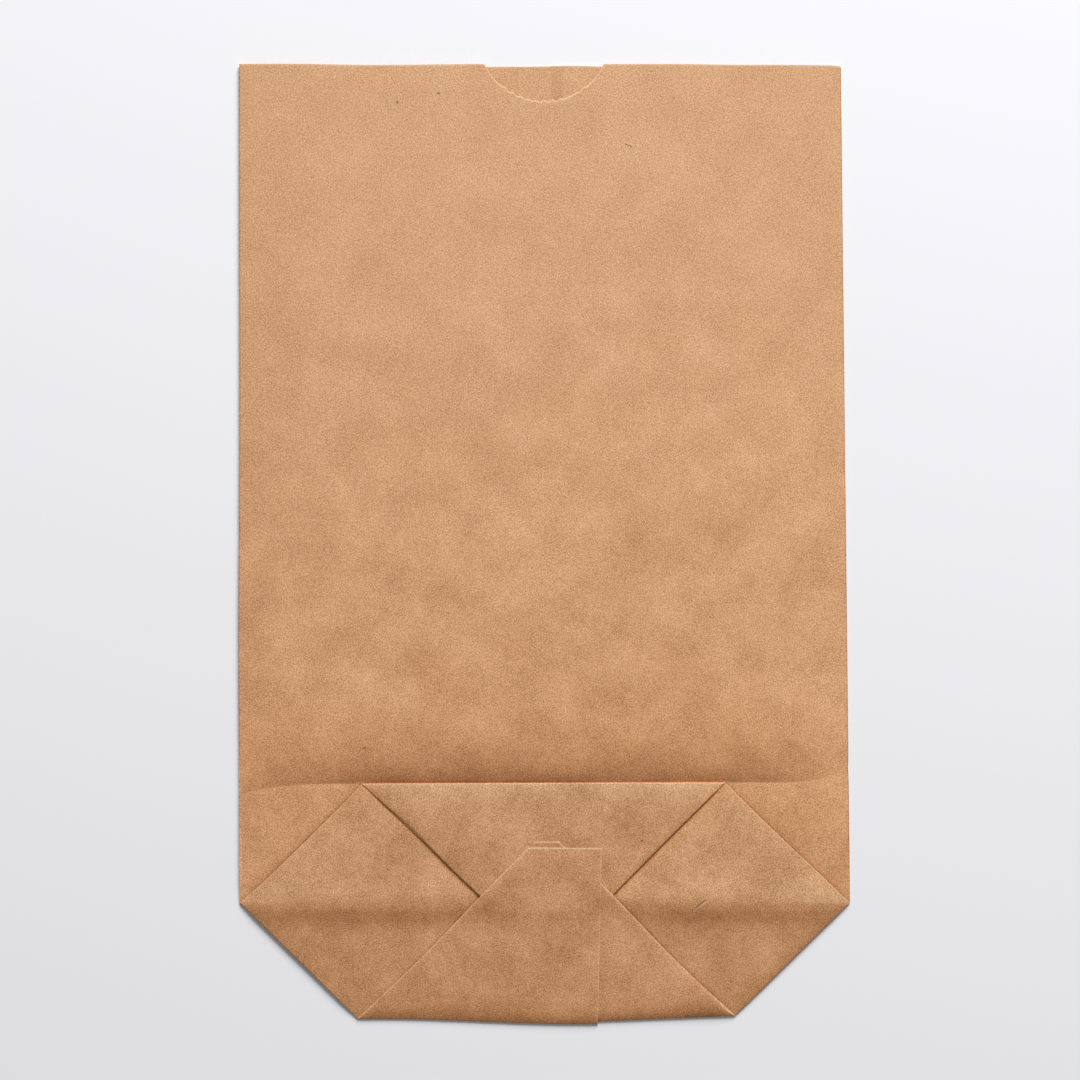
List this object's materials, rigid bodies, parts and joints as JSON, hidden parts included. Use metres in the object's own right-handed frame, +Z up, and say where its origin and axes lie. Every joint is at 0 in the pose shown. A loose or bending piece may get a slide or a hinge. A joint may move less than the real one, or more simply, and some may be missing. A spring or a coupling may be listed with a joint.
{
  "type": "paper bag",
  "caption": "Flat brown kraft paper bag with a cross-folded base, a glued lap seam up the back and a toothed thumb notch at the open mouth.",
  "frame": {"origin": "under the middle of the bag's length and width, on the surface that its back wall lies on", "axes": "+X to the right seen from the front, +Y along the bag towards its mouth, +Z up out of the front wall"},
  "size_m": [0.165, 0.26, 0.0054],
  "materials": {
    "kraft_paper": "uncoated brown kraft paper, matt, with fine fibres and faint mottling"
  },
  "bodies": {
    "root": {"paper_bag": "kraft_paper"}
  },
  "joints": []
}
